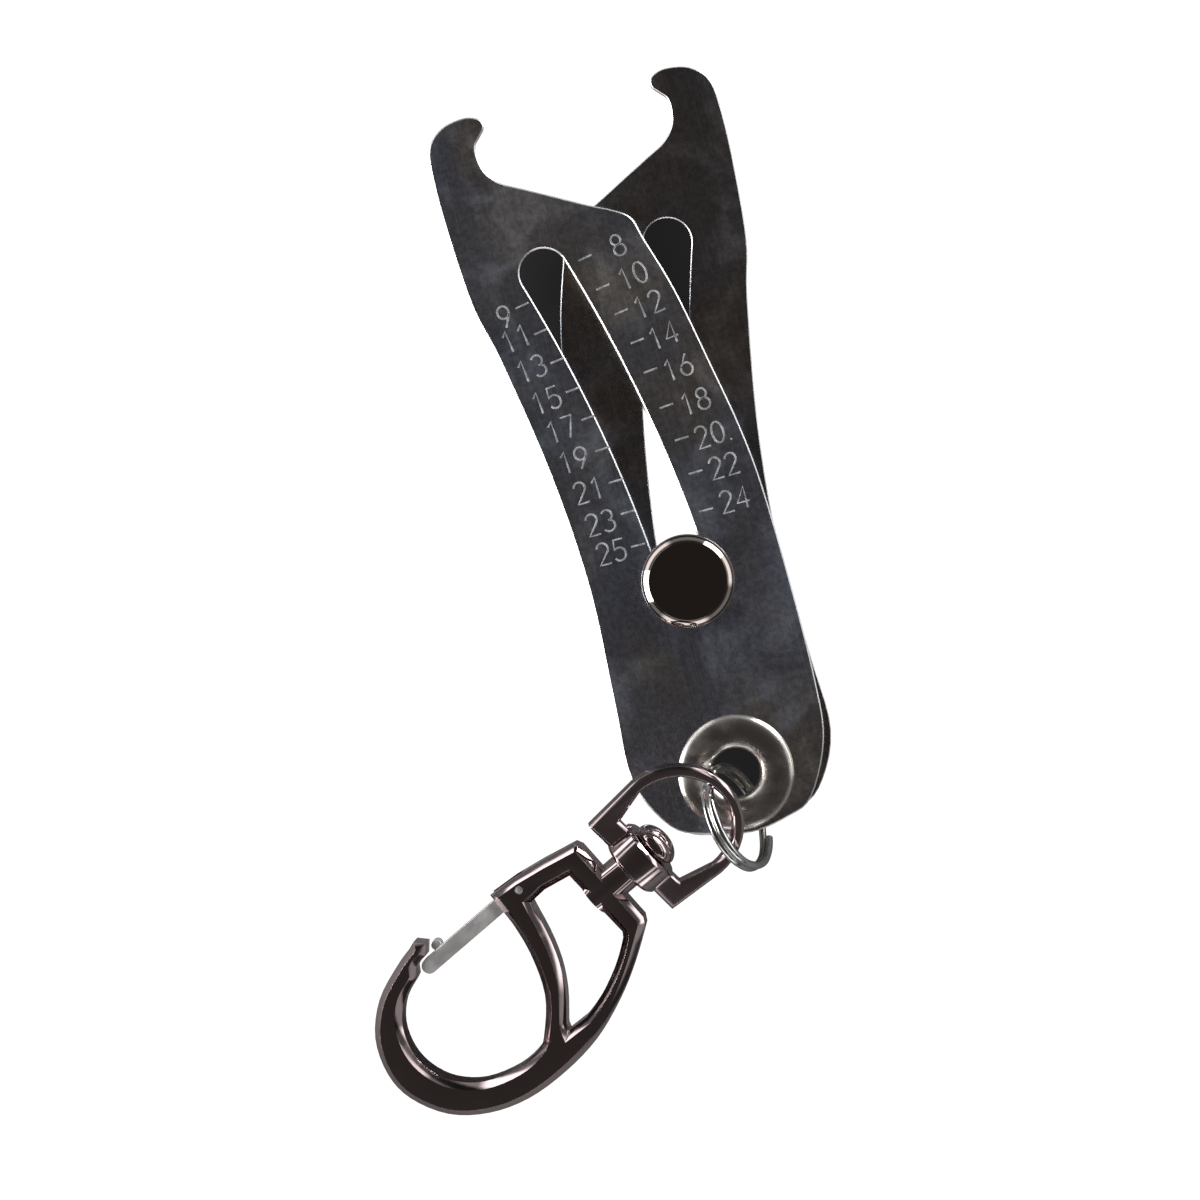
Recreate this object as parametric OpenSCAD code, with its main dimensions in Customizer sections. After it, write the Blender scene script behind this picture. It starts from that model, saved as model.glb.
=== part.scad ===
// Pocket thread size checker, in millimetres.
// Two flat crossed blades turn on a rolled eyelet and end in hooked jaws. A two-headed button
// slides in their curved slots and opens or closes the jaws, and its upper edge reads the size
// on the scale beside the slot. A split ring through the eyelet carries a swivel snap hook.
// +Z is up through the flat blades, +Y runs from the eyelet to the jaws, and the origin is in
// the middle of the button's rear face, on which the tool lies, with the jaws open. The modules
// draw each piece round the eyelet's axis, and the last one sets them on the rear face.

/* [Blades] */
// Thickness of each blade
blade_t = 1.0; // [0.8:0.1:1.1]
// Height of the back blade's underside above the table
stack_z = 2.65; // [2.6:0.05:2.85]
// Running gap between the two blades
blade_gap = 0.05; // [0.03:0.01:0.1]
// Half width of the blades round the eyelet
heel_half = 12.6; // [11:0.1:14]
// Reach of the blades below the eyelet's axis
heel_reach = 7.7; // [7.4:0.1:8]
// Half width of the blades at the button's lowest place
waist_half = 12.2; // [11:0.1:13.5]
// Distance from the eyelet's axis to the point where the jaws measure
jaw_y = 82.8; // [78:0.2:88]
// Distance between the jaws when the tool is open
jaw_gap = 25; // [22:0.5:27]
// Width of a jaw behind its measuring face
jaw_back = 6.1; // [5:0.1:7.5]
// How far the nose of a jaw stands in over its measuring face
nose_in = 1.7; // [1:0.1:2.2]
// Distance from the eyelet's axis to the foot of the jaw opening
vee_y = 71.4; // [69:0.2:73]

/* [Slots] */
// Width of the curved slots
slot_w = 6.1; // [5.2:0.1:6.6]
// Distance from the eyelet to the button when the jaws are open
slot_start = 24.7; // [23:0.1:27]
// Travel of the button
slot_travel = 42.3; // [38:0.1:43]
// Angle that each blade closes while the button runs its whole travel
close_angle = 6.85; // [5:0.05:7.5]

/* [Button] */
// Outside diameter of the button's front head
button_d = 11.7; // [10:0.1:13]
// Height of the front head
button_h = 2.4; // [1.6:0.1:3]
// Width of the bevel round the front head
button_bevel = 1.0; // [0.4:0.1:1.4]
// Diameter of the rear head
back_d = 11.2; // [9.5:0.1:13]
// Radial clearance of the shank in the slots
shank_gap = 0.08; // [0.05:0.01:0.1]
// Diameter of the rivet stem inside the shank
stem_d = 3; // [2:0.1:4]

/* [Eyelet] */
// Radius of the eyelet's bore
bore_r = 3.1; // [3.05:0.05:3.2]
// Sheet thickness of the eyelet
eyelet_t = 0.5; // [0.4:0.05:0.6]
// Radius of the front flange
flange_r = 7.3; // [6.8:0.05:7.4]
// Height of the front flange over the blade
flange_h = 1.0; // [0.8:0.05:1.05]
// Radial clearance of the blades on the eyelet
pivot_gap = 0.06; // [0.02:0.01:0.1]
// Radius of the rear washer
washer_r = 6.6; // [5.8:0.05:7.3]
// Thickness of the rear washer
washer_t = 0.4; // [0.3:0.05:0.45]
// Radius of the rear roll
roll_r = 5.0; // [4.6:0.05:5.2]
// Depth of the rear roll
roll_h = 0.4; // [0.3:0.05:0.45]

/* [Split ring] */
// Outside diameter of the split ring
ring_d = 14.0; // [13.9:0.02:14.1]
// Radial width of the ring's flat wire
ring_wire_w = 0.95; // [0.8:0.05:1]
// Thickness of the ring's flat wire
ring_wire_t = 0.8; // [0.65:0.05:0.85]
// Gap between the two turns of the ring
ring_turn_gap = 0.1; // [0.08:0.01:0.14]
// Distance from the eyelet's axis to the ring's middle, seen from above
ring_reach = 5.43; // [5.35:0.01:5.5]
// Shift of the ring's middle to its raised side
ring_shift = 0.18; // [0.1:0.01:0.26]
// Height of the ring's middle above the table
ring_z = 6.56; // [6.54:0.01:6.62]
// Slope of the ring across its reach
ring_slope = 55.4; // [54.6:0.1:56.2]
// Rise of the ring away from the eyelet
ring_rise = 36.6; // [35.8:0.1:37.4]
// Direction from the eyelet to the ring's middle
ring_heading = -101.8; // [-103:0.1:-100]

/* [Swivel eye] */
// Place of the snap hook's own axes, left of the eyelet
hook_x = -15.67; // [-17:0.05:-14.5]
// Place of the snap hook's own axes, below the eyelet
hook_y = -8.33; // [-10:0.05:-7]
// Height of the snap hook's own axes above the table
hook_z = 8.95; // [8.85:0.01:9.05]
// Direction from the snap hook to the eyelet
hook_heading = 27; // [24:0.5:30]
// Offset of the swivel axis across the snap hook
swivel_u = -0.5; // [-1:0.05:0]
// Turn of the eye about the swivel axis, right side down
eye_roll = 18.9; // [18:0.1:20]
// Height of the eye from the foot of its boss to the crown of its arch
eye_h = 16.3; // [15.5:0.1:16.6]
// Outer half width of the arch
arch_half = 8.35; // [8.3:0.01:8.4]
// Width of the arch
arch_w = 1.45; // [1.3:0.05:1.5]
// Thickness of the arch and the legs
eye_t = 1.9; // [1.6:0.1:2.1]
// Half width of the eye at the feet of its legs
foot_half = 7.8; // [7.4:0.1:8]
// Width of each leg at its foot
foot_w = 2.1; // [1.6:0.1:2.6]
// Height of the eye's cross bar
bar_h = 3.2; // [2.6:0.1:3.6]
// Diameter of the boss in the cross bar
boss_d = 8.4; // [7:0.1:9]
// Height of the boss
boss_h = 3.9; // [3.4:0.1:4.4]

/* [Swivel rivet] */
// Radius of the rivet's shank
rivet_r = 1.6; // [1.2:0.05:2]
// Radial clearance of the shank in the boss
rivet_gap = 0.08; // [0.04:0.01:0.1]
// Radius of the rivet's mushroom head
rivet_head_r = 2.9; // [2.4:0.05:3.4]
// Height of the mushroom head
rivet_head_h = 2.2; // [1.6:0.1:2.4]
// Running gap between the boss and what turns against it
swivel_gap = 0.2; // [0.1:0.05:0.4]

/* [Hook] */
// Thickness of the hook casting
hook_t = 4.4; // [3.6:0.1:4.5]
// Width of the bevel along the casting's edges
hook_bevel = 0.8; // [0.4:0.05:1]
// Diameter of the collar under the swivel
collar_d = 4.7; // [4.5:0.05:5.2]
// Length of the snap hook below the swivel
hook_len = 40.5; // [39:0.1:41]
// Width of the casting at its bow
bow_w = 4.4; // [3.6:0.1:5]

/* [Gate] */
// Width of the gate strip
gate_w = 1.95; // [1.6:0.05:2.1]
// Thickness of the gate strip
gate_t = 2.0; // [1.4:0.1:2.4]
// Length of the gate below its pin
gate_len = 16.3; // [15.8:0.1:16.6]
// Clearance of the gate in its slot
gate_gap = 0.15; // [0.1:0.05:0.25]
// Angle that the gate opens
gate_open = 20; // [14:1:22]
// Radius of the gate's pin
pin_r = 0.55; // [0.4:0.05:0.6]
// Radial clearance of the gate on its pin
pin_gap = 0.06; // [0.03:0.01:0.1]
// Wire diameter of the gate's spring
spring_wire = 0.28; // [0.2:0.02:0.32]
// Turns of the gate's spring
spring_turns = 2.5; // [2:0.5:3]

/* [Hidden] */
$fn = 72;
sliver = 0.01;                                   // overrun of a cut past the face that it opens
button_gap = 0.1;                                // play of the button's head over the front blade
hook_lift = 0.05;                                // room between the bow and the table
seat_gap = 0.005;                                // radial room of a pressed seat
face_trim = 0.05;                                // what is faced off on each side of a plate
back_top = stack_z + blade_t;
front_z = back_top + blade_gap;
front_top = front_z + blade_t;
tube_r = bore_r + eyelet_t;
blade_hole_r = tube_r + pivot_gap;
flange_z = front_top + blade_gap;
washer_z = stack_z - blade_gap - washer_t;
slot_rate = close_angle / slot_travel;           // degrees of slot lead per millimetre of travel
shank_r = slot_w / 2 - shank_gap;
shank_z = stack_z - blade_gap;
button_z = front_top + button_gap;
half_gap = jaw_gap / 2;

// Points of a smooth closed curve through the given points
function spline_point(a, b, c, d, t) =
    0.5 * ((2 * b) + (c - a) * t + (2 * a - 5 * b + 4 * c - d) * t * t
    + (3 * b - a - 3 * c + d) * t * t * t);
function smooth_loop(p, steps) =
    let (n = len(p))
    [for (i = [0 : n - 1]) for (k = [0 : steps - 1])
        spline_point(p[(i + n - 1) % n], p[i], p[(i + 1) % n], p[(i + 2) % n], k / steps)];
function arc(centre, r, from, to, steps) =
    [for (k = [0 : steps]) let (a = from + (to - from) * k / steps)
        centre + r * [cos(a), sin(a)]];
function unit(v) = v / norm(v);
function turned(p, a) = [p[0] * cos(a) - p[1] * sin(a), p[0] * sin(a) + p[1] * cos(a)];
// Loop moved inwards by d; the points run clockwise
function edge_normal(a, b) = let (e = unit(b - a)) [e[1], -e[0]];
function inset(p, d) =
    let (n = len(p))
    [for (i = [0 : n - 1])
        let (m = edge_normal(p[(i + n - 1) % n], p[i]), k = edge_normal(p[i], p[(i + 1) % n]),
            s = m + k)
        p[i] + s * (d * 2 / max(1.2, s * s))];

// Plate with bevelled edges, its middle plane at z = 0; bevel below zero flares a cut
module bevelled(points, t, bevel) {
    n = len(points);
    rings = [[-t / 2, bevel], [bevel < 0 ? -t / 2 - bevel : bevel - t / 2, 0],
        [bevel < 0 ? t / 2 + bevel : t / 2 - bevel, 0], [t / 2, bevel]];
    vertices = [for (r = rings) for (q = inset(points, r[1])) [q[0], q[1], r[0]]];
    sides = [for (k = [0 : 2]) for (i = [0 : n - 1])
        let (j = (i + 1) % n)
        for (f = [[k * n + i, k * n + j, (k + 1) * n + j], [k * n + i, (k + 1) * n + j, (k + 1) * n + i]]) f];
    polyhedron(vertices, concat([[for (i = [n - 1 : -1 : 0]) i], [for (i = [0 : n - 1]) 3 * n + i]],
        sides), convexity = 8);
}

// The same plate cut out of a slightly thicker one, so that its two faces are exact planes
module faced_plate(points, t, bevel) {
    intersection() {
        bevelled(points, t + 2 * face_trim, bevel + face_trim);
        translate([-hook_len, -1.5 * hook_len, -t / 2]) cube([2 * hook_len, 2 * hook_len, t]);
    }
}

// Outline of the front blade; the back blade is its mirror image
jaw_edge = [
    [-half_gap - jaw_back, jaw_y - 1.6], [-half_gap - jaw_back + 0.5, jaw_y + 2.2],
    [-half_gap - jaw_back + 2.6, jaw_y + 4.3], [-half_gap - 0.5, jaw_y + 4.9],
    [-half_gap + nose_in - 0.35, jaw_y + 4.3], [-half_gap + nose_in, jaw_y + 3.2],
    [-half_gap + nose_in - 0.75, jaw_y + 2.2], [-half_gap + 0.12, jaw_y + 1.2],
    [-half_gap, jaw_y - 0.5], [-half_gap + 0.5, jaw_y - 2.4], [-half_gap + 2, jaw_y - 4.1],
    [-half_gap + 4.4, jaw_y - 5.4]];
vee_edge = [[-4.7, vee_y + 4.2], [-0.6, vee_y + 2], [2.3, vee_y + 0.6], [4.3, vee_y - 0.9],
    [5.2, vee_y - 3.8]];
right_edge = [[7.4, vee_y - 11], [9.5, vee_y - 21.2], [11.1, vee_y - 29.6],
    [heel_half - 0.6, slot_start + 9], [heel_half - 0.15, slot_start - 4], [heel_half - 0.15, 9],
    [heel_half - 0.9, 1.4]];
heel_edge = [[heel_half - 4.2, -heel_reach + 2.5], [heel_half - 7.8, -heel_reach + 0.75],
    [0, -heel_reach], [-heel_half + 7.2, -heel_reach + 1.1], [-heel_half + 3, -heel_reach + 3.2]];
left_edge = [[-heel_half - 0.3, 2.2], [-heel_half - 0.1, 12], [-waist_half, slot_start + 2],
    [-waist_half - 1.2, slot_start + 17], [-waist_half - 3.8, slot_start + 32.5],
    [-half_gap - jaw_back + 0.9, vee_y - 7], [-half_gap - jaw_back + 0.1, vee_y + 3]];
blade_outline = smooth_loop(concat(jaw_edge, vee_edge, right_edge, heel_edge, left_edge), 5);

// Middle line of the slot: its lead angle grows evenly with the distance from the eyelet
function slot_lead(r) = slot_rate * (r - slot_start);
function slot_mid(r) = r * [-sin(slot_lead(r)), cos(slot_lead(r))];
function slot_side(r) =
    let (a = slot_lead(r) + atan(r * slot_rate * PI / 180)) [cos(a), sin(a)];
function slot_turn(r) = slot_lead(r) + atan(r * slot_rate * PI / 180);
slot_steps = 22;
slot_stations = [for (k = [0 : slot_steps]) slot_start + slot_travel * k / slot_steps];
slot_outline = concat(
    [for (r = slot_stations) slot_mid(r) + slot_side(r) * slot_w / 2],
    arc(slot_mid(slot_start + slot_travel), slot_w / 2, slot_turn(slot_start + slot_travel),
        slot_turn(slot_start + slot_travel) + 180, 16),
    [for (k = [slot_steps : -1 : 0]) slot_mid(slot_stations[k]) - slot_side(slot_stations[k]) * slot_w / 2],
    arc(slot_mid(slot_start), slot_w / 2, slot_turn(slot_start) + 180, slot_turn(slot_start) + 360, 16));

module blade() {
    difference() {
        linear_extrude(blade_t) polygon(blade_outline);
        translate([0, 0, -1]) linear_extrude(blade_t + 2) polygon(slot_outline);
        translate([0, 0, -1]) cylinder(r = blade_hole_r, h = blade_t + 2);
    }
}

module front_blade() {
    color([0.2, 0.21, 0.24]) translate([0, 0, front_z]) blade();
}

module back_blade() {
    color([0.17, 0.18, 0.2]) translate([0, 0, stack_z]) mirror([1, 0, 0]) blade();
}

// Rolled section: half an ellipse from the bore out to radius r1, on the side given by up
function roll(r0, r1, z, h, up, steps) =
    [for (k = [0 : steps]) let (a = 180 * k / steps)
        [(r0 + r1) / 2 - (r1 - r0) / 2 * cos(a), z + up * h * sin(a)]];
function turned_back(p) = [for (k = [len(p) - 1 : -1 : 0]) p[k]];

module eyelet() {
    section = concat(
        roll(bore_r, flange_r, flange_z, flange_h, 1, 20),
        turned_back(roll(tube_r, flange_r - eyelet_t, flange_z, flange_h - eyelet_t, 1, 16)),
        [[tube_r, washer_z]],
        [[roll_r, washer_z]],
        turned_back(roll(bore_r, roll_r, washer_z, roll_h, -1, 14)));
    color([0.5, 0.5, 0.5]) rotate_extrude($fn = 96) polygon(section);
}

module eyelet_washer() {
    color([0.42, 0.42, 0.42]) translate([0, 0, washer_z])
        difference() {
            cylinder(r = washer_r, h = washer_t, $fn = 96);
            translate([0, 0, -1]) cylinder(r = tube_r + seat_gap, h = washer_t + 2, $fn = 96);
        }
}

module slider_button() {
    color([0.35, 0.34, 0.34]) translate([0, slot_start, 0])
        difference() {
            rotate_extrude($fn = 96)
                polygon([[0, shank_z], [shank_r, shank_z], [shank_r, button_z], [button_d / 2 - 0.2, button_z],
                    [button_d / 2, button_z + 0.2], [button_d / 2, button_z + button_h - button_bevel * 0.8],
                    [button_d / 2 - button_bevel, button_z + button_h], [0, button_z + button_h]]);
            translate([0, 0, shank_z - 1])
                cylinder(r = stem_d / 2 + seat_gap, h = front_top - shank_z + 1, $fn = 96);
        }
}

module slider_back() {
    color([0.4, 0.4, 0.4]) translate([0, slot_start, 0])
        rotate_extrude($fn = 96)
            polygon([[0, 0], [back_d / 2 - 0.9, 0], [back_d / 2 - 0.2, 0.4], [back_d / 2, 0.9],
                [back_d / 2, shank_z - 0.2], [back_d / 2 - 0.2, shank_z], [stem_d / 2, shank_z],
                [stem_d / 2, front_top - 0.1], [0, front_top - 0.1]]);
}

// The split ring's flat wire runs nearly twice round and steps over between its own two ends
ring_mid_r = (ring_d - ring_wire_w) / 2;
ring_pitch = ring_wire_t + ring_turn_gap;
ring_steps = 96;
ring_start = 55;
ring_step = 52;                                  // angle in which the wire steps over
ring_turning = 718 - ring_step;                  // angle from one end of the wire to the other
function ring_lift(t) =
    let (s = min(1, max(0, (t - 0.5) * ring_turning / ring_step + 0.5)))
    (s * s * (3 - 2 * s) - 0.5) * ring_pitch;
function ring_section(t) =
    let (a = ring_start + ring_turning * t, z = ring_lift(t), c = [cos(a), sin(a)],
        r0 = ring_mid_r - ring_wire_w / 2, r1 = ring_mid_r + ring_wire_w / 2, h = ring_wire_t / 2, e = 0.25)
    [for (q = [[r0, -h + e], [r0 + e, -h], [r1 - e, -h], [r1, -h + e], [r1, h - e], [r1 - e, h],
        [r0 + e, h], [r0, h - e]]) [c[0] * q[0], c[1] * q[0], z + q[1]]];

// Closed tube through the sections given, each a loop of the same number of points
module sweep(sections) {
    m = len(sections[0]);
    n = len(sections);
    faces = [for (k = [0 : n - 2]) for (i = [0 : m - 1])
        let (j = (i + 1) % m)
        for (f = [[k * m + i, (k + 1) * m + j, (k + 1) * m + i], [k * m + i, k * m + j, (k + 1) * m + j]]) f];
    polyhedron([for (s = sections) for (q = s) q],
        concat([[for (i = [m - 1 : -1 : 0]) i], [for (i = [0 : m - 1]) (n - 1) * m + i]], faces),
        convexity = 10);
}

module split_ring() {
    color([0.55, 0.55, 0.55])
        rotate([0, 0, ring_heading + 90]) translate([-ring_shift, -ring_reach, ring_z])
            rotate([-ring_rise, 0, 0]) rotate([0, ring_slope, 0])
                sweep([for (k = [0 : ring_steps]) ring_section(k / ring_steps)]);
}

// Own axes of the snap hook: x across it, y towards the eyelet, z up out of its face
module on_hook() {
    translate([hook_x, hook_y, hook_z]) rotate([0, 0, hook_heading - 90])
        rotate([hook_slope, 0, 0]) children();
}
// The casting's rear edge at the bow rests on the table
hook_slope = asin((hook_z - hook_t / 2 - hook_lift) / (hook_len - hook_bevel));

arch_v = eye_h - arch_half;
eye_outline = concat(
    [[-foot_half, 0.3], [-arch_half, arch_v]],
    [for (k = [1 : 23]) let (a = 180 - 180 * k / 24) [arch_half * cos(a), arch_v + arch_half * sin(a)]],
    [[arch_half, arch_v], [foot_half, 0.3]]);
eye_window = concat(
    [[-foot_half + foot_w, bar_h + 0.3], [-arch_half + arch_w, arch_v]],
    [for (k = [1 : 23]) let (a = 180 - 180 * k / 24)
        [(arch_half - arch_w) * cos(a), arch_v + (arch_half - arch_w) * sin(a)]],
    [[arch_half - arch_w, arch_v], [foot_half - foot_w, bar_h + 0.3]]);

module swivel_eye() {
    color([0.5, 0.5, 0.5]) on_hook() translate([swivel_u, 0, 0]) rotate([0, eye_roll, 0])
        difference() {
            union() {
                difference() {
                    bevelled(eye_outline, eye_t, 0.35);
                    bevelled(eye_window, eye_t + 2 * sliver, -0.35);
                }
                rotate([-90, 0, 0]) rotate_extrude()
                    polygon([[0, 0], [boss_d / 2 - 0.4, 0], [boss_d / 2, 0.4], [boss_d / 2, boss_h - 0.4],
                        [boss_d / 2 - 0.4, boss_h], [0, boss_h]]);
            }
            translate([0, -1, 0]) rotate([-90, 0, 0]) cylinder(r = rivet_r + rivet_gap, h = boss_h + 2);
        }
}

rivet_foot = -swivel_gap - 3.2;
rivet_head_v = boss_h + swivel_gap;

module swivel_rivet() {
    color([0.55, 0.55, 0.55]) on_hook() translate([swivel_u, 0, 0]) rotate([-90, 0, 0])
        rotate_extrude()
            polygon(concat([[0, rivet_foot], [rivet_r, rivet_foot], [rivet_r, rivet_head_v],
                [rivet_head_r - 0.3, rivet_head_v], [rivet_head_r, rivet_head_v + 0.35]],
                [for (k = [1 : 12]) let (a = 90 * k / 12)
                    [rivet_head_r * cos(a), rivet_head_v + 0.35 + (rivet_head_h - 0.35) * sin(a)]]));
}

// The hook's outlines are drawn for this length of hook and gate, with the gate's pin this low
drawn_hook = 40.5;
drawn_gate = 16.3;
drawn_pin = -11.9;
// Height of a drawn point on the casting: the stretch beside the gate follows gate_len, and what
// lies above the pin and below the gate's tip shares the rest of hook_len
bow_v = -hook_len;
spare_fit = (hook_len - gate_len) / (drawn_hook - drawn_gate);
function fit(v) =
    v > drawn_pin ? v * spare_fit
    : v > drawn_pin - drawn_gate ? drawn_pin * spare_fit + (v - drawn_pin) * gate_len / drawn_gate
    : bow_v + (v + drawn_hook) * spare_fit;
function drawn(p) = [for (q = p) [q[0], fit(q[1])]];

// Outline of the hook casting, clockwise from the left shoulder
hook_outline = concat(
    [[-7.2, -2.9], [-6.4, -2.5], [5.2, -2.4]],
    spline_run(concat([[4.4, -0.4], [6.1, -2.9]],
        drawn([[9, -7.4], [11.3, -11.9], [13, -17], [13.6, -22.7], [13.2, -28.6], [11.4, -33.7],
            [8.2, -37.8], [3.6, -40.2], [-0.6, -40.35], [-5, -38.5], [-8.3, -34.8], [-10.1, -30.1],
            [-10.8, -26.9], [-11, -25.5]])), 4),
    drawn([[-11, -26.6], [-9.85, -25.5], [-8.7, -26.6], [-8.6, -27.9], [-8.3, -28.6]]),
    spline_run(concat(drawn([[-8.6, -28.1], [-7.4, -29.2], [-6.2, -32.4]]),
        [[-3.9, bow_v + bow_w + 1.3], [-0.8, bow_v + bow_w + 0.1], [2.3, bow_v + bow_w + 0.2],
            [5.4, bow_v + bow_w + 1.6]],
        drawn([[8, -31.5], [9.4, -27.1], [9.3, -23.5], [8.2, -21.6], [4.6, -18.3], [-0.6, -16.2],
            [-5.8, -15.3], [-8, -15.2]])), 4),
    drawn([[-9.2, -15.2], [-8.9, -11.5], [-8.2, -7.5]]));
window_outline = concat(
    [[-4.6, -6], [4.9, -5.6]],
    spline_run(concat([[4, -4.5], [5.5, -6]],
        drawn([[7.6, -9.2], [9.4, -13.4], [10.3, -17.4], [10.3, -19]])), 3),
    drawn([[10, -19.1], [9.4, -18.9]]),
    spline_run(drawn([[10, -19.6], [9, -18.6], [6, -16.1], [2.7, -14.2], [-1, -12.9], [-5.1, -12],
        [-7, -11.8]]), 3),
    drawn([[-5.2, -11.9], [-5.3, -9.5]]));
// Smooth open curve that leaves out its first and last point
function spline_run(p, steps) =
    [for (i = [1 : len(p) - 3]) for (k = [0 : steps - 1])
        spline_point(p[i - 1], p[i], p[i + 1], p[i + 2], k / steps)];

pin_at = [-7.4, fit(drawn_pin)];
gate_slot_t = gate_t + 2 * gate_gap;
gate_heel = gate_w / 2 + 0.35;
// The slot clears the heel all round and the gate at its widest angle, and opens to the left
gate_slot = concat(
    [pin_at + [-4, gate_heel + gate_gap], pin_at + [0, gate_heel + gate_gap]],
    arc(pin_at, gate_heel + gate_gap, 75, 0, 5),
    [pin_at + turned([gate_w / 2 + gate_gap, -1.5], gate_open + 1),
        pin_at + turned([gate_w / 2 + gate_gap, -6], gate_open + 1), pin_at + [-4, -6]]);

module hook_body() {
    color([0.3, 0.28, 0.28]) on_hook()
        difference() {
            union() {
                difference() {
                    faced_plate(hook_outline, hook_t, hook_bevel);
                    bevelled(window_outline, hook_t + 2 * sliver, -hook_bevel);
                }
                translate([swivel_u, -5.9, 0]) rotate([-90, 0, 0])
                    cylinder(d = collar_d, h = 5.9 - swivel_gap);
            }
            translate([swivel_u, rivet_foot, 0]) rotate([-90, 0, 0]) cylinder(r = rivet_r, h = 6);
            translate([0, 0, -gate_slot_t / 2]) linear_extrude(gate_slot_t) polygon(gate_slot);
            translate([pin_at[0], pin_at[1], -hook_t]) cylinder(r = pin_r, h = 2 * hook_t, $fn = 48);
        }
}

// The gate: a strip on a round heel, with a rounded tip and a small thumb nub
gate_spring_w = spring_wire * (spring_turns + 1.6);
module gate() {
    color([0.6, 0.6, 0.6]) on_hook() translate([pin_at[0], pin_at[1], 0])
        difference() {
            union() {
                cylinder(r = gate_heel, h = gate_t, center = true);
                translate([-gate_w / 2, -gate_len + gate_w / 2, -gate_t / 2])
                    cube([gate_w, gate_len - gate_w / 2, gate_t]);
                translate([0, -gate_len + gate_w / 2, 0]) cylinder(d = gate_w, h = gate_t, center = true);
                translate([-gate_w / 2 - 0.45, -gate_len + 3.4, 0]) cylinder(r = 0.65, h = gate_t * 0.8, center = true);
            }
            cylinder(r = pin_r + pin_gap, h = 2 * gate_t, center = true, $fn = 48);
            // Room beside the heel for the spring
            translate([0, 0, gate_t / 2 - gate_spring_w]) cylinder(r = gate_heel + 0.6, h = gate_t);
        }
}

module gate_pin() {
    color([0.7, 0.7, 0.7]) on_hook() translate([pin_at[0], pin_at[1], 0])
        cylinder(r = pin_r, h = hook_t - 0.2, center = true, $fn = 48);
}

// Torsion spring wound round the pin, its short ends against the slot and the gate
spring_r = pin_r + 0.12 + spring_wire / 2;
spring_steps = 48;
function spring_section(t) =
    let (a = 100 + 360 * spring_turns * t, z = (t - 0.5) * spring_wire * 1.25 * spring_turns)
    [for (k = [0 : 5]) let (q = 60 * k)
        [(spring_r + spring_wire / 2 * cos(q)) * cos(a), (spring_r + spring_wire / 2 * cos(q)) * sin(a),
            z + spring_wire / 2 * sin(q)]];
module gate_spring() {
    color([0.75, 0.75, 0.75]) on_hook()
        translate([pin_at[0], pin_at[1], gate_t / 2 - gate_spring_w / 2])
            sweep([for (k = [0 : spring_steps]) spring_section(k / spring_steps)]);
}

// The tool lies on the button's rear face, and the part's origin is in the middle of that face
module on_rear_face() {
    translate([0, -slot_start, 0]) children();
}

on_rear_face() eyelet();
on_rear_face() eyelet_washer();
on_rear_face() back_blade();
on_rear_face() front_blade();
on_rear_face() slider_button();
on_rear_face() slider_back();
on_rear_face() split_ring();
on_rear_face() swivel_eye();
on_rear_face() swivel_rivet();
on_rear_face() hook_body();
on_rear_face() gate();
on_rear_face() gate_pin();
on_rear_face() gate_spring();
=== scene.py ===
# %% [markdown]
# # Thread size checker
# A pocket gauge lies on a white table and is seen from straight above. Two flat crossed blades
# turn on a rolled eyelet, a chromed button runs in their curved slots, and a split ring carries a
# swivel snap hook. The CAD model gives every moving piece its place. This lesson gives the pieces
# their finish: softened edges, etched numbers, brushed and blued steel, and bright chrome.

# %% Load the CAD frame
import math
import bpy
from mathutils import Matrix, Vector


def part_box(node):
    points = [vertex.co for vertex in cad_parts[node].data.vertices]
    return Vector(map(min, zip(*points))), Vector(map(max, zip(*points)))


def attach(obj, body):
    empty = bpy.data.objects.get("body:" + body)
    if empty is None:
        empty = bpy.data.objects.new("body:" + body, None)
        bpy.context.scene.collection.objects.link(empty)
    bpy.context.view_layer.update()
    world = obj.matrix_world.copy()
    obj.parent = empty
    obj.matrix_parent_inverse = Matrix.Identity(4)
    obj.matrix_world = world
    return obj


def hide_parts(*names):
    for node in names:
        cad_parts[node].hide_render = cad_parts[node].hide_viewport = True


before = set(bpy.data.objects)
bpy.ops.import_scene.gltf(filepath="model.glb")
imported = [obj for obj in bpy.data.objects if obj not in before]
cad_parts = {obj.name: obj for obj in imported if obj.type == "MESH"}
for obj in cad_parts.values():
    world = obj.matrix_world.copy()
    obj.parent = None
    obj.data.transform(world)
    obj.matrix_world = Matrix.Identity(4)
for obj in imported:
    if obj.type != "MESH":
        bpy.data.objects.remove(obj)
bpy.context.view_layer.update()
MM = 0.001

# %% [markdown]
# ## Small helpers
# Each helper does one thing, so that the later steps read like a list of what is done.

# %% Helpers for selecting, joining and finishing
def only(obj):
    """Makes obj the one selected and active object."""
    bpy.ops.object.select_all(action="DESELECT")
    obj.select_set(True)
    bpy.context.view_layer.objects.active = obj


def apply_modifiers(obj):
    only(obj)
    for modifier in list(obj.modifiers):
        bpy.ops.object.modifier_apply(modifier=modifier.name)


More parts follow.
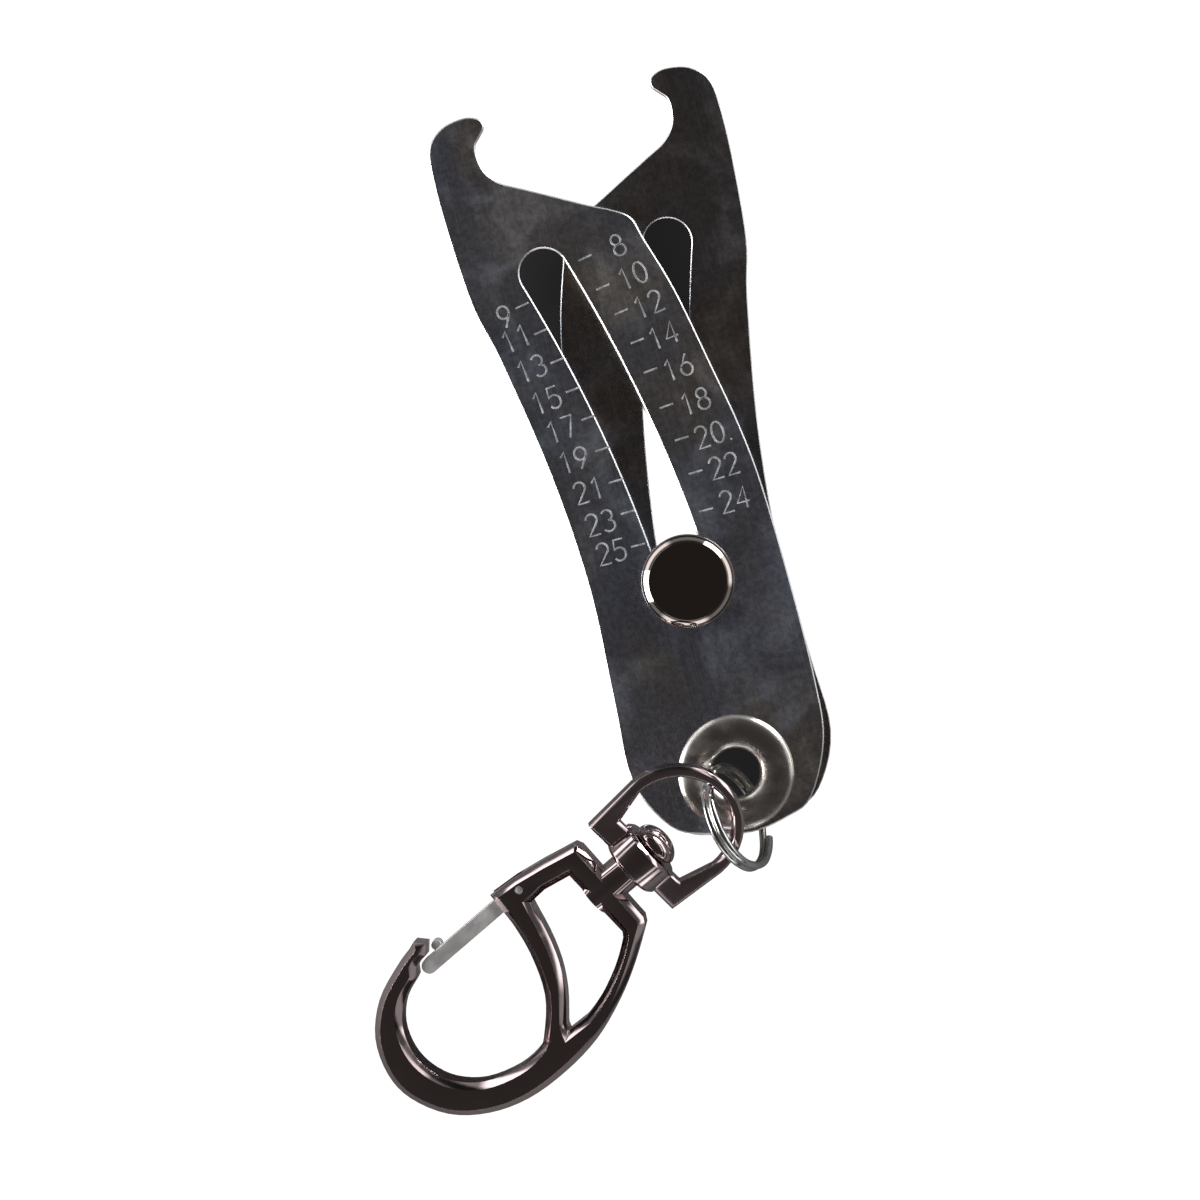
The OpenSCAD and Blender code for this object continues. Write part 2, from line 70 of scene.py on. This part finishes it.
def softened(node, body, materials, width, angle=30, segments=2, edge_material=-1, smooth=40):
    """A copy of a CAD piece with cleaned faces and softened edges, which stands for that piece."""
    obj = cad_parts[node].copy()
    obj.data = obj.data.copy()
    bpy.context.collection.objects.link(obj)
    obj.parent = None
    obj.matrix_world.identity()
    obj.name = node + "_finish"
    only(obj)
    bpy.ops.mesh.customdata_custom_splitnormals_clear()
    bpy.ops.object.mode_set(mode="EDIT")
    bpy.ops.mesh.select_all(action="SELECT")
    bpy.ops.mesh.remove_doubles(threshold=0.002 * MM)
    bpy.ops.mesh.dissolve_limited(angle_limit=math.radians(0.4))
    bpy.ops.mesh.normals_make_consistent(inside=False)
    bpy.ops.object.mode_set(mode="OBJECT")
    obj.data.materials.clear()
    for material in materials:
        obj.data.materials.append(material)
    if width:
        bevel = obj.modifiers.new("softened edges", "BEVEL")
        bevel.width = width * MM
        bevel.segments = segments
        bevel.limit_method = "ANGLE"
        bevel.angle_limit = math.radians(angle)
        bevel.material = edge_material
        apply_modifiers(obj)
    only(obj)
    bpy.ops.object.shade_smooth_by_angle(angle=math.radians(smooth))
    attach(obj, body)
    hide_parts(node)
    return obj


# %% [markdown]
# ## Shared effects
# Two node groups give masks that several materials use. One makes soft cloudy patches, as from
# handling and heat, and the other makes fine drawn lines along the tool.

# %% Node groups for patches and drawn lines
def new_group(name, inputs):
    group = bpy.data.node_groups.new(name, "ShaderNodeTree")
    for label, value in inputs:
        socket = group.interface.new_socket(label, in_out="INPUT", socket_type="NodeSocketFloat")
        socket.default_value = value
    group.interface.new_socket("Mask", in_out="OUTPUT", socket_type="NodeSocketFloat")
    start = group.nodes.new("NodeGroupInput")
    end = group.nodes.new("NodeGroupOutput")
    return group, start, end


def add_node(tree, kind, **values):
    node = tree.nodes.new(kind)
    for key, value in values.items():
        if key in node.inputs:
            node.inputs[key].default_value = value
        else:
            setattr(node, key, value)
    return node


def make_patches():
    group, start, end = new_group("Cloudy patches", [("Scale", 60.0), ("Low", 0.4), ("High", 0.65)])
    place = add_node(group, "ShaderNodeTexCoord")
    noise = add_node(group, "ShaderNodeTexNoise", Detail=5.0, Roughness=0.55, Distortion=0.6)
    ramp = add_node(group, "ShaderNodeMapRange", interpolation_type="SMOOTHSTEP")
    group.links.new(place.outputs["Object"], noise.inputs["Vector"])
    group.links.new(start.outputs["Scale"], noise.inputs["Scale"])
    group.links.new(noise.outputs["Fac"], ramp.inputs["Value"])
    group.links.new(start.outputs["Low"], ramp.inputs["From Min"])
    group.links.new(start.outputs["High"], ramp.inputs["From Max"])
    group.links.new(ramp.outputs["Result"], end.inputs["Mask"])
    return group


def make_drawn_lines():
    group, start, end = new_group("Drawn lines", [("Across", 5000.0), ("Along", 60.0)])
    place = add_node(group, "ShaderNodeTexCoord")
    stretch = add_node(group, "ShaderNodeVectorMath", operation="MULTIPLY")
    scales = add_node(group, "ShaderNodeCombineXYZ")
    noise = add_node(group, "ShaderNodeTexNoise", Scale=1.0, Detail=3.0, Roughness=0.6)
    group.links.new(start.outputs["Across"], scales.inputs["X"])
    group.links.new(start.outputs["Along"], scales.inputs["Y"])
    group.links.new(start.outputs["Along"], scales.inputs["Z"])
    group.links.new(place.outputs["Object"], stretch.inputs[0])
    group.links.new(scales.outputs["Vector"], stretch.inputs[1])
    group.links.new(stretch.outputs["Vector"], noise.inputs["Vector"])
    group.links.new(noise.outputs["Fac"], end.inputs["Mask"])
    return group


patches = make_patches()
drawn_lines = make_drawn_lines()

# %% [markdown]
# ## Materials
# Every metal is a Principled shader with full metallic value. The blades mix a blue-grey and a
# brown tone, and the chrome pieces differ only in tint and in how many smudges they carry.

# %% Material helpers
def new_material(name):
    material = bpy.data.materials.new(name)
    material.use_nodes = True
    shader = material.node_tree.nodes["Principled BSDF"]
    shader.inputs["Metallic"].default_value = 1.0
    return material, material.node_tree, shader


def effect(tree, group, **values):
    node = tree.nodes.new("ShaderNodeGroup")
    node.node_tree = group
    for key, value in values.items():
        node.inputs[key].default_value = value
    return node


def mixed_colour(tree, mask, first, second):
    mix = tree.nodes.new("ShaderNodeMix")
    mix.data_type = "RGBA"
    tree.links.new(mask, mix.inputs["Factor"])
    mix.inputs["A"].default_value = (*first, 1.0)
    mix.inputs["B"].default_value = (*second, 1.0)
    return mix.outputs["Result"]


def ranged(tree, mask, low, high):
    node = tree.nodes.new("ShaderNodeMapRange")
    tree.links.new(mask, node.inputs["Value"])
    node.inputs["To Min"].default_value = low
    node.inputs["To Max"].default_value = high
    return node.outputs["Result"]


# %% Blade steel: cloudy blue-grey and brown, with grain and fine drawn lines
def blade_material(name, cool, warm, low, high):
    material, tree, shader = new_material(name)
    clouds = effect(tree, patches, Scale=30.0, Low=low, High=high)
    lines = effect(tree, drawn_lines, Across=5200.0, Along=45.0)
    stains = effect(tree, patches, Scale=130.0, Low=0.42, High=0.72)
    grain = effect(tree, patches, Scale=1500.0, Low=0.35, High=0.65)
    speckled = tree.nodes.new("ShaderNodeHueSaturation")
    tree.links.new(mixed_colour(tree, clouds.outputs["Mask"], cool, warm), speckled.inputs["Color"])
    tree.links.new(ranged(tree, grain.outputs["Mask"], 0.82, 1.12), speckled.inputs["Value"])
    tree.links.new(speckled.outputs["Color"], shader.inputs["Base Color"])
    rough = tree.nodes.new("ShaderNodeMath")
    rough.operation = "ADD"
    tree.links.new(ranged(tree, stains.outputs["Mask"], 0.26, 0.38), rough.inputs[0])
    tree.links.new(ranged(tree, lines.outputs["Mask"], -0.05, 0.06), rough.inputs[1])
    tree.links.new(rough.outputs["Value"], shader.inputs["Roughness"])
    bump = tree.nodes.new("ShaderNodeBump")
    bump.inputs["Strength"].default_value = 0.08
    bump.inputs["Distance"].default_value = 0.01 * MM
    tree.links.new(lines.outputs["Mask"], bump.inputs["Height"])
    tree.links.new(bump.outputs["Normal"], shader.inputs["Normal"])
    return material


front_steel = blade_material("Front blade steel", (0.64, 0.71, 0.88), (0.73, 0.68, 0.63), 0.42, 0.64)
back_steel = blade_material("Back blade steel", (0.36, 0.37, 0.41), (0.40, 0.35, 0.31), 0.36, 0.62)

# %% Polished edge and chrome finishes
def polished_material(name, tint, rough_low, rough_high, scale=220.0):
    material, tree, shader = new_material(name)
    smudges = effect(tree, patches, Scale=scale, Low=0.42, High=0.7)
    shader.inputs["Base Color"].default_value = (*tint, 1.0)
    tree.links.new(ranged(tree, smudges.outputs["Mask"], rough_low, rough_high), shader.inputs["Roughness"])
    return material


edge_steel = polished_material("Blade edge", (0.95, 0.95, 0.96), 0.38, 0.48)
button_chrome = polished_material("Button chrome", (0.36, 0.31, 0.28), 0.05, 0.12, 300.0)
eyelet_nickel = polished_material("Eyelet nickel", (0.72, 0.68, 0.63), 0.22, 0.36)
ring_steel = polished_material("Ring steel", (0.7, 0.7, 0.69), 0.12, 0.24)
hook_chrome = polished_material("Hook chrome", (0.54, 0.44, 0.44), 0.05, 0.13)
gate_chrome = polished_material("Gate chrome", (0.96, 0.94, 0.93), 0.42, 0.55)
spring_steel = polished_material("Spring steel", (0.6, 0.6, 0.6), 0.2, 0.3)

# %% Etched marks: pale and dull, and a little uneven
etched, etched_tree, etched_shader = new_material("Etched scale")
etched_shader.inputs["Metallic"].default_value = 0.2
etched_shader.inputs["Roughness"].default_value = 0.7
worn = effect(etched_tree, patches, Scale=900.0, Low=0.35, High=0.6)
etched_tree.links.new(
    mixed_colour(etched_tree, worn.outputs["Mask"], (0.68, 0.69, 0.71), (0.34, 0.35, 0.37)),
    etched_shader.inputs["Base Color"])

# %% [markdown]
# ## The pieces
# Each CAD piece that is seen gets a copy with softened edges. The blades keep thin bright
# polished edges, because the softened strip has its own material.

# %% Blades with bright edges
front_blade = softened("front_blade", "front_blade", [front_steel, edge_steel], 0.17,
                       angle=50, segments=1, edge_material=1, smooth=25)
back_blade = softened("back_blade", "back_blade", [back_steel, edge_steel], 0.12,
                      angle=50, segments=1, edge_material=1, smooth=25)

# %% Button, eyelet and washer
slider_button = softened("slider_button", "button", [button_chrome], 0.12, angle=30)
slider_back = softened("slider_back", "button", [button_chrome], 0.12, angle=30)
eyelet = softened("eyelet", "eyelet", [eyelet_nickel], 0.0, smooth=60)
eyelet_washer = softened("eyelet_washer", "eyelet", [eyelet_nickel], 0.06)

# %% Split ring and swivel eye
split_ring = softened("split_ring", "ring", [ring_steel], 0.0, smooth=50)
swivel_eye = softened("swivel_eye", "eye", [hook_chrome], 0.34, angle=28, segments=5)
swivel_rivet = softened("swivel_rivet", "hook", [hook_chrome], 0.0, smooth=50)

# %% Hook, gate and pin
hook_body = softened("hook_body", "hook", [hook_chrome], 0.5, angle=28, segments=6)
gate = softened("gate", "gate", [gate_chrome], 0.6, angle=40, segments=6)
gate_pin = softened("gate_pin", "hook", [gate_chrome], 0.1, angle=40)
gate_spring = softened("gate_spring", "hook", [spring_steel], 0.0, smooth=70)

# %% [markdown]
# ## The etched scale
# The numbers 8 to 25 stand beside the front blade's slot: even numbers on its right and odd ones
# on its left. Each is drawn with single strokes, as a fine engraving tool would cut them. A
# stroke is a thin round curve that is made a mesh and pressed nearly flat on the blade.

# %% Strokes of the digits in a box one unit high
def curve_points(cx, cy, rx, ry, start, end, steps=10):
    points = []
    for k in range(steps + 1):
        a = math.radians(start + (end - start) * k / steps)
        points.append((cx + rx * math.cos(a), cy + ry * math.sin(a)))
    return points


WIDE = 0.56
DIGITS = {
    "0": [curve_points(0.28, 0.5, 0.27, 0.5, 90, 450, 18)],
    "1": [[(0.12, 0.78), (0.32, 1.0), (0.32, 0.0)]],
    "2": [curve_points(0.28, 0.73, 0.26, 0.27, 170, -35, 10) + [(0.02, 0.0), (0.56, 0.0)]],
    "3": [curve_points(0.26, 0.75, 0.25, 0.25, 150, -80, 10)
          + curve_points(0.26, 0.27, 0.28, 0.27, 80, -150, 10)],
    "4": [[(0.42, 0.0), (0.42, 1.0), (0.0, 0.3), (0.58, 0.3)]],
    "5": [[(0.52, 1.0), (0.1, 1.0), (0.05, 0.55)] + curve_points(0.26, 0.31, 0.28, 0.31, 125, -150, 12)],
    "6": [[(0.42, 1.0)] + curve_points(0.28, 0.3, 0.27, 0.3, 155, -205, 16)],
    "7": [[(0.0, 1.0), (0.54, 1.0), (0.2, 0.0)]],
    "8": [curve_points(0.28, 0.76, 0.23, 0.24, 270, 630, 14), curve_points(0.28, 0.27, 0.28, 0.27, 90, 450, 14)],
    "9": [[(0.14, 0.0)] + curve_points(0.28, 0.7, 0.27, 0.3, -25, 335, 16)],
}

# %% Where the slot runs: its lead angle grows evenly with the distance from the eyelet
PIVOT_Y = -24.7
SLOT_START = 24.7
SLOT_RATE = 6.85 / 42.3
SLOT_HALF = 3.05


def slot_point(radius):
    """Middle of the slot at that distance from the eyelet, in the part's millimetres."""
    lead = math.radians(SLOT_RATE * (radius - SLOT_START))
    return (-radius * math.sin(lead), PIVOT_Y + radius * math.cos(lead))


def slot_across(radius):
    """Angle of the marks at that distance: a little less than straight across the slot."""
    lead = math.radians(SLOT_RATE * (radius - SLOT_START))
    return lead + math.atan(radius * math.radians(SLOT_RATE)) - math.radians(6)


# %% Lay out every tick and number along the slot
FIRST_TICK = 30.55
TICK_STEP = 2.15
TICK_LONG = 1.8
DIGIT_HIGH = 2.7
DIGIT_STEP = 2.05
# The engraver's hand: how far each tick and each number stands right of and below its even place
UNEVEN = {
    8: (0.6, 0.5, 0.2, 1.1), 10: (0.5, 0.3, 0.6, 0.5), 12: (0.6, -0.5, 0.3, 0.1),
    14: (0.5, -0.8, 0.0, 0.0), 16: (0.1, -1.1, -0.2, -0.1), 18: (0.2, -0.7, 0.0, 0.0),
    20: (0.3, -0.7, 0.0, 0.0), 22: (0.3, -0.6, 0.0, -0.3), 24: (0.0, 0.0, -0.3, -0.3),
    9: (0.2, 0.5, -0.5, 1.2), 11: (0.35, 0.1, 0.4, -0.4), 13: (0.35, 0.0, 0.3, -0.3),
    15: (0.3, -0.1, 0.2, 0.0), 17: (0.35, -0.4, 0.2, -0.1), 19: (0.3, -0.3, 0.0, 0.0),
    21: (0.3, -0.2, 0.2, 0.0), 23: (0.2, -0.2, 0.1, 0.2), 25: (0.0, 0.0, 0.0, 0.0),
}
LEAN = math.radians(14.2)
strokes = []
for number in range(8, 26):
    radius = FIRST_TICK + (25 - number) * TICK_STEP
    x, y = slot_point(radius)
    turn = slot_across(radius)
    side = 1 if number % 2 == 0 else -1

    tick_right, tick_down, number_right, number_down = UNEVEN[number]

    def on_blade(u, v, right, down):
        return (x + u * math.cos(turn) - v * math.sin(turn) + right * math.cos(LEAN) - down * math.sin(LEAN),
                y + u * math.sin(turn) + v * math.cos(turn) - right * math.sin(LEAN) - down * math.cos(LEAN))

    near = SLOT_HALF + 1.2 if side > 0 else -SLOT_HALF - 0.45
    far = near + side * TICK_LONG
    strokes.append([on_blade(near, 0.0, tick_right, tick_down), on_blade(far, 0.0, tick_right, tick_down)])
    text = str(number)
    text_long = DIGIT_STEP * (len(text) - 1) + WIDE * DIGIT_HIGH
    left = far + 1.3 if side > 0 else far - 0.75 - text_long
    if number < 10:
        left += DIGIT_STEP if side > 0 else 0.8
    for place, digit in enumerate(text):
        for line in DIGITS[digit]:
            strokes.append([on_blade(left + place * DIGIT_STEP + px * DIGIT_HIGH, (py - 0.5) * DIGIT_HIGH,
                                     number_right, number_down) for px, py in line])
    if number == 20:
        dot = left + text_long + 0.5
        strokes.append([on_blade(dot, -0.5 * DIGIT_HIGH, 0.0, 0.0),
                        on_blade(dot + 0.25, -0.5 * DIGIT_HIGH, 0.0, 0.0)])

# %% Draw the strokes as one curve, make it a mesh and press it on the blade
blade_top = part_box("front_blade")[1].z
curve = bpy.data.curves.new("scale_marks", "CURVE")
curve.dimensions = "3D"
curve.bevel_depth = 0.125 * MM
curve.bevel_resolution = 1
curve.use_fill_caps = True
for line in strokes:
    spline = curve.splines.new("POLY")
    spline.points.add(len(line) - 1)
    for point, (px, py) in zip(spline.points, line):
        point.co = (px * MM, py * MM, 0.0, 1.0)
scale_marks = bpy.data.objects.new("scale_marks", curve)
bpy.context.collection.objects.link(scale_marks)
only(scale_marks)
bpy.ops.object.convert(target="MESH")
scale_marks.scale = (1.0, 1.0, 0.1)
scale_marks.location = (0.0, 0.0, blade_top)
bpy.ops.object.transform_apply(location=True, rotation=False, scale=True)
scale_marks.data.materials.clear()
scale_marks.data.materials.append(etched)
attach(scale_marks, "front_blade")

# %% [markdown]
# ## Table, light and camera
# The tool lies on a plain white table. The world is dark straight above and bright towards the
# horizon, so flat chrome looks dark and every bevel catches a white line.

# %% Node group: a soft-edged band along a line on the table
def make_band():
    group = bpy.data.node_groups.new("Band along a line", "ShaderNodeTree")
    for label in ("Start", "Along"):
        group.interface.new_socket(label, in_out="INPUT", socket_type="NodeSocketVector")
    group.interface.new_socket("Half width", in_out="INPUT", socket_type="NodeSocketFloat")
    group.interface.new_socket("Mask", in_out="OUTPUT", socket_type="NodeSocketFloat")
    start = group.nodes.new("NodeGroupInput")
    end = group.nodes.new("NodeGroupOutput")
    place = add_node(group, "ShaderNodeTexCoord")
    offset = add_node(group, "ShaderNodeVectorMath", operation="SUBTRACT")
    reach = add_node(group, "ShaderNodeVectorMath", operation="DOT_PRODUCT")
    square = add_node(group, "ShaderNodeVectorMath", operation="DOT_PRODUCT")
    share = add_node(group, "ShaderNodeMath", operation="DIVIDE", use_clamp=True)
    foot = add_node(group, "ShaderNodeVectorMath", operation="SCALE")
    away = add_node(group, "ShaderNodeVectorMath", operation="DISTANCE")
    ratio = add_node(group, "ShaderNodeMath", operation="DIVIDE")
    fade = add_node(group, "ShaderNodeMapRange", interpolation_type="SMOOTHSTEP")
    for label, value in (("From Min", 0.9), ("From Max", 1.05), ("To Min", 1.0), ("To Max", 0.0)):
        fade.inputs[label].default_value = value
    group.links.new(place.outputs["Object"], offset.inputs[0])
    group.links.new(start.outputs["Start"], offset.inputs[1])
    group.links.new(offset.outputs["Vector"], reach.inputs[0])
    group.links.new(start.outputs["Along"], reach.inputs[1])
    group.links.new(start.outputs["Along"], square.inputs[0])
    group.links.new(start.outputs["Along"], square.inputs[1])
    group.links.new(reach.outputs["Value"], share.inputs[0])
    group.links.new(square.outputs["Value"], share.inputs[1])
    group.links.new(start.outputs["Along"], foot.inputs[0])
    group.links.new(share.outputs["Value"], foot.inputs["Scale"])
    group.links.new(foot.outputs["Vector"], away.inputs[0])
    group.links.new(offset.outputs["Vector"], away.inputs[1])
    group.links.new(away.outputs["Value"], ratio.inputs[0])
    group.links.new(start.outputs["Half width"], ratio.inputs[1])
    group.links.new(ratio.outputs["Value"], fade.inputs["Value"])
    group.links.new(fade.outputs["Result"], end.inputs["Mask"])
    return group


band = make_band()

# %% White table, with painted shade where it shows through the slots' upper ends and the eyelet
bpy.ops.mesh.primitive_plane_add(size=6.0, location=(0.0, 0.0, -0.02 * MM))
table = bpy.context.active_object
table.name = "table"
white = bpy.data.materials.new("White table with painted shade")
white.use_nodes = True
tree = white.node_tree
surface = tree.nodes["Principled BSDF"]
surface.inputs["Base Color"].default_value = (0.32, 0.32, 0.32, 1.0)
surface.inputs["Roughness"].default_value = 0.9
glow = tree.nodes.new("ShaderNodeEmission")
# Painted shade: dark bands on the table where it shows through the upper ends of the slots and through the
# eyelet's bore, under the blades.
PAINTED_SHADE_BANDS = [((-8.0, 41.8), (4.0, -15.2), 3.9), ((8.0, 41.8), (-4.6, -17.5), 3.9),
              ((0.0, PIVOT_Y), (0.0, 0.5), 5.0)]
painted_shade = None
for (start_x, start_y), (along_x, along_y), half_width in PAINTED_SHADE_BANDS:
    shade_spot = tree.nodes.new("ShaderNodeGroup")
    shade_spot.node_tree = band
    shade_spot.inputs["Start"].default_value = (start_x * MM, start_y * MM, 0.0)
    shade_spot.inputs["Along"].default_value = (along_x * MM, along_y * MM, 0.0)
    shade_spot.inputs["Half width"].default_value = half_width * MM
    if painted_shade is None:
        painted_shade = shade_spot.outputs["Mask"]
    else:
        both = add_node(tree, "ShaderNodeMath", operation="MAXIMUM")
        tree.links.new(painted_shade, both.inputs[0])
        tree.links.new(shade_spot.outputs["Mask"], both.inputs[1])
        painted_shade = both.outputs["Value"]
# The painted shade shows only where the table is seen nearly straight on. There it turns the table's white glow
# down to near black.
from_above = tree.nodes.new("ShaderNodeLayerWeight")
steep = add_node(tree, "ShaderNodeMapRange")
for label, value in (("From Min", 0.03), ("From Max", 0.12), ("To Min", 1.0), ("To Max", 0.0)):
    steep.inputs[label].default_value = value
painted_shade_shown = add_node(tree, "ShaderNodeMath", operation="MULTIPLY")
tree.links.new(from_above.outputs["Facing"], steep.inputs["Value"])
tree.links.new(steep.outputs["Result"], painted_shade_shown.inputs[0])
tree.links.new(painted_shade, painted_shade_shown.inputs[1])
tree.links.new(ranged(tree, painted_shade_shown.outputs["Value"], 1.15, 0.012), glow.inputs["Strength"])
path = tree.nodes.new("ShaderNodeLightPath")
seen = tree.nodes.new("ShaderNodeMath")
seen.operation = "MULTIPLY"
seen.inputs[1].default_value = 0.93
blend = tree.nodes.new("ShaderNodeMixShader")
tree.links.new(path.outputs["Is Camera Ray"], seen.inputs[0])
tree.links.new(seen.outputs["Value"], blend.inputs["Fac"])
tree.links.new(surface.outputs["BSDF"], blend.inputs[1])
tree.links.new(glow.outputs["Emission"], blend.inputs[2])
tree.links.new(blend.outputs["Shader"], tree.nodes["Material Output"].inputs["Surface"])
table.data.materials.append(white)

# %% World: dark above, bright low down
world = bpy.data.worlds.new("Studio")
bpy.context.scene.world = world
world.use_nodes = True
tree = world.node_tree
background = tree.nodes["Background"]
place = tree.nodes.new("ShaderNodeTexCoord")
split = tree.nodes.new("ShaderNodeSeparateXYZ")
sky = tree.nodes.new("ShaderNodeValToRGB")
tree.links.new(place.outputs["Generated"], split.inputs["Vector"])
tree.links.new(split.outputs["Z"], sky.inputs["Fac"])
stops = sky.color_ramp.elements
stops[0].position, stops[0].color = 0.0, (0.16, 0.16, 0.17, 1.0)
stops[1].position, stops[1].color = 1.0, (0.034, 0.03, 0.028, 1.0)
for position, colour in ((0.1, (0.18, 0.18, 0.19, 1.0)), (0.15, (2.4, 2.4, 2.45, 1.0)),
                         (0.29, (2.4, 2.4, 2.45, 1.0)), (0.35, (0.1, 0.1, 0.1, 1.0)),
                         (0.46, (0.1, 0.1, 0.1, 1.0)), (0.49, (1.6, 1.6, 1.6, 1.0)),
                         (0.53, (1.6, 1.6, 1.6, 1.0)), (0.58, (0.07, 0.066, 0.066, 1.0)),
                         (0.85, (0.042, 0.038, 0.037, 1.0))):
    stop = stops.new(position)
    stop.color = colour
tree.links.new(sky.outputs["Color"], background.inputs["Color"])

# %% Dark screens between the lights, so that rounded chrome shows black lines beside white ones
around = add_node(tree, "ShaderNodeMath", operation="ARCTAN2")
turns = add_node(tree, "ShaderNodeMath", operation="MULTIPLY_ADD")
turns.inputs[1].default_value = 3.0
turns.inputs[2].default_value = 0.9
waves = add_node(tree, "ShaderNodeMath", operation="SINE")
screens = add_node(tree, "ShaderNodeMapRange", interpolation_type="SMOOTHSTEP")
for label, value in (("From Min", -0.35), ("From Max", 0.25), ("To Min", 0.16), ("To Max", 1.0)):
    screens.inputs[label].default_value = value
tree.links.new(split.outputs["Y"], around.inputs[0])
tree.links.new(split.outputs["X"], around.inputs[1])
tree.links.new(around.outputs["Value"], turns.inputs[0])
tree.links.new(turns.outputs["Value"], waves.inputs[0])
tree.links.new(waves.outputs["Value"], screens.inputs["Value"])
above = add_node(tree, "ShaderNodeMapRange", interpolation_type="SMOOTHSTEP")
above.inputs["From Min"].default_value = 0.62
above.inputs["From Max"].default_value = 0.8
tree.links.new(split.outputs["Z"], above.inputs["Value"])
evened = add_node(tree, "ShaderNodeMix")
tree.links.new(above.outputs["Result"], evened.inputs["Factor"])
tree.links.new(screens.outputs["Result"], evened.inputs["A"])
evened.inputs["B"].default_value = 1.0
tree.links.new(evened.outputs["Result"], background.inputs["Strength"])

# %% Two soft boxes, low at the left and at the upper right
def soft_box(name, place, size, power):
    light = bpy.data.lights.new(name, "AREA")
    light.shape = "RECTANGLE"
    light.size, light.size_y = size
    light.energy = power
    obj = bpy.data.objects.new(name, light)
    bpy.context.collection.objects.link(obj)
    obj.location = place
    aim = -obj.location
    obj.rotation_euler = aim.to_track_quat("-Z", "Y").to_euler()
    return obj


soft_box("Left soft box", (-0.85, 0.1, 0.27), (0.7, 0.3), 7.0)
soft_box("Right soft box", (0.75, 0.55, 0.27), (0.5, 0.25), 5.0)

# %% Camera straight above, rolled as in the photograph
lens = bpy.data.cameras.new("Camera")
lens.lens = 100.0
lens.sensor_width = 36.0
camera = bpy.data.objects.new("Camera", lens)
bpy.context.collection.objects.link(camera)
camera.location = (-11.2 * MM, 0.4 * MM, blade_top + 416.7 * MM)
camera.rotation_euler = (0.0, 0.0, math.radians(-14.2))
bpy.context.scene.camera = camera
bpy.context.scene.view_settings.view_transform = "Standard"
